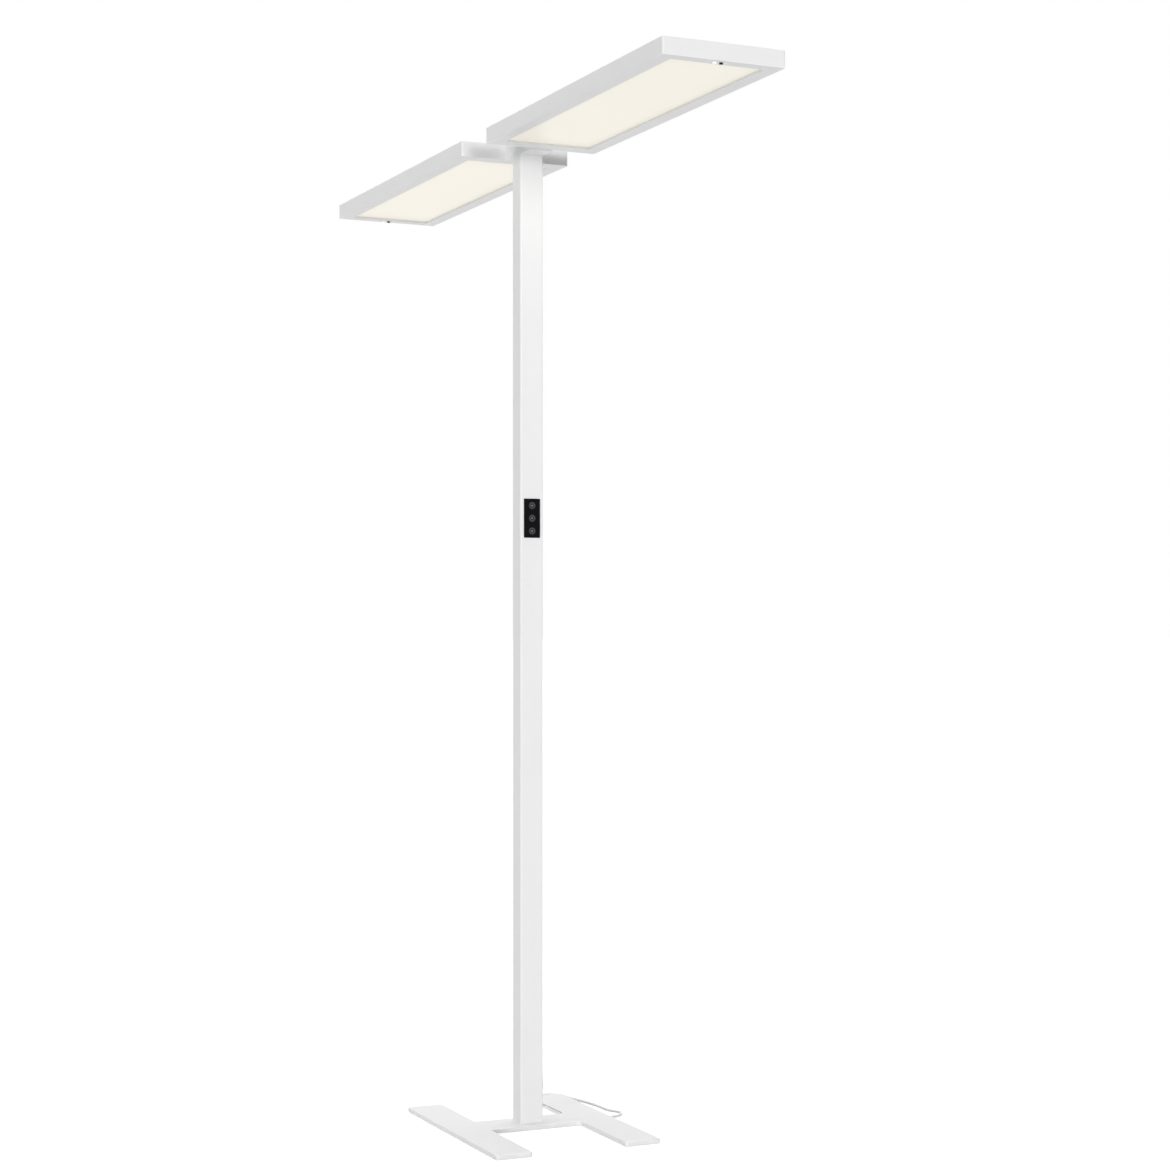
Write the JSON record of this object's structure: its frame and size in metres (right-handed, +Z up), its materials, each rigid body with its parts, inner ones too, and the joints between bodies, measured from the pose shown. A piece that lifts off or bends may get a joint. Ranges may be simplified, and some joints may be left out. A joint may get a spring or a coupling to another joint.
{
  "type": "floor lamp",
  "caption": "Free-standing office floor lamp: H-shaped base plate, rectangular column with a keypad, and two flat rectangular heads in line on a short arm.",
  "frame": {"origin": "on the floor, on the column's axis", "axes": "+Z up, +Y along the heads and the feet away from the keypad's side, +X along the base's crossbar; the keypad faces -Y"},
  "size_m": [0.4639, 1.642, 1.95],
  "materials": {
    "white_paint": "satin powder coat",
    "arm_paint": "satin powder coat",
    "steel": "zinc plated",
    "zinc_screw": "zinc plated",
    "cast_block": "raw",
    "pad_rubber": "matt",
    "diffuser": "opal",
    "reflector": "white enamel",
    "circuit_board": "lacquered",
    "led_board": "white lacquer",
    "black_plastic": "fine matt",
    "key_plastic": "matt with printed ring marks",
    "sensor_dark": "dark window",
    "sensor_white": "milky lens",
    "pilot": "clear light guide",
    "driver_case": "moulded",
    "terminal": "moulded",
    "inner_lead": "sheathed",
    "lead_white": "sheathed",
    "tie_white": "moulded strap",
    "plug_white": "moulded",
    "pin_metal": "nickel plated"
  },
  "bodies": {
    "lamp": {"base_plate": "white_paint", "foot_pads": "pad_rubber", "base_screws": "zinc_screw", "column": "white_paint", "column_spigot": "steel", "spigot_screws": "zinc_screw", "bracket_screws": "zinc_screw", "strain_relief": "lead_white", "relief_nut": "zinc_screw", "keypad_housing": "black_plastic", "keypad_fascia": "black_plastic", "keypad_board": "circuit_board", "keypad_switches": "black_plastic", "led_driver": "driver_case", "driver_bracket": "steel", "supply_lead": "inner_lead", "output_lead": "inner_lead", "arm": "arm_paint", "arm_lid": "arm_paint", "arm_spigot": "cast_block", "arm_bolts": "zinc_screw", "terminal_block": "terminal", "mains_lead": "lead_white", "mains_lead_hank": "lead_white", "lead_tie": "tie_white", "mains_lead_tail": "lead_white", "plug": "plug_white", "plug_pins": "pin_metal", "near_frame": "white_paint", "near_cover": "white_paint", "near_cover_screws": "zinc_screw", "near_corner_blocks": "cast_block", "near_diffuser": "diffuser", "near_reflector": "reflector", "near_led_strips": "led_board", "near_sensor_module": "circuit_board", "near_sensor_window": "sensor_dark", "near_sensor_lens": "sensor_white", "near_pilot_light": "pilot", "near_arm_plate": "steel", "near_arm_screws": "zinc_screw", "near_head_lead": "inner_lead", "far_frame": "white_paint", "far_cover": "white_paint", "far_cover_screws": "zinc_screw", "far_corner_blocks": "cast_block", "far_diffuser": "diffuser", "far_reflector": "reflector", "far_led_strips": "led_board", "far_sensor_module": "circuit_board", "far_sensor_window": "sensor_dark", "far_sensor_lens": "sensor_white", "far_pilot_light": "pilot", "far_arm_plate": "steel", "far_arm_screws": "zinc_screw", "far_head_lead": "inner_lead"},
    "key_upper": {"key_upper": "key_plastic"},
    "key_middle": {"key_middle": "key_plastic"},
    "key_lower": {"key_lower": "key_plastic"}
  },
  "joints": [
    {"name": "key_upper_press", "type": "slide", "parent": "lamp", "child": "key_upper", "axis": [0, 1, 0], "range_m": [0, 0.0008], "stiffness_N_per_m": 600, "springref_m": -0.0008},
    {"name": "key_middle_press", "type": "slide", "parent": "lamp", "child": "key_middle", "axis": [0, 1, 0], "range_m": [0, 0.0008], "stiffness_N_per_m": 600, "springref_m": -0.0008},
    {"name": "key_lower_press", "type": "slide", "parent": "lamp", "child": "key_lower", "axis": [0, 1, 0], "range_m": [0, 0.0008], "stiffness_N_per_m": 600, "springref_m": -0.0008}
  ]
}
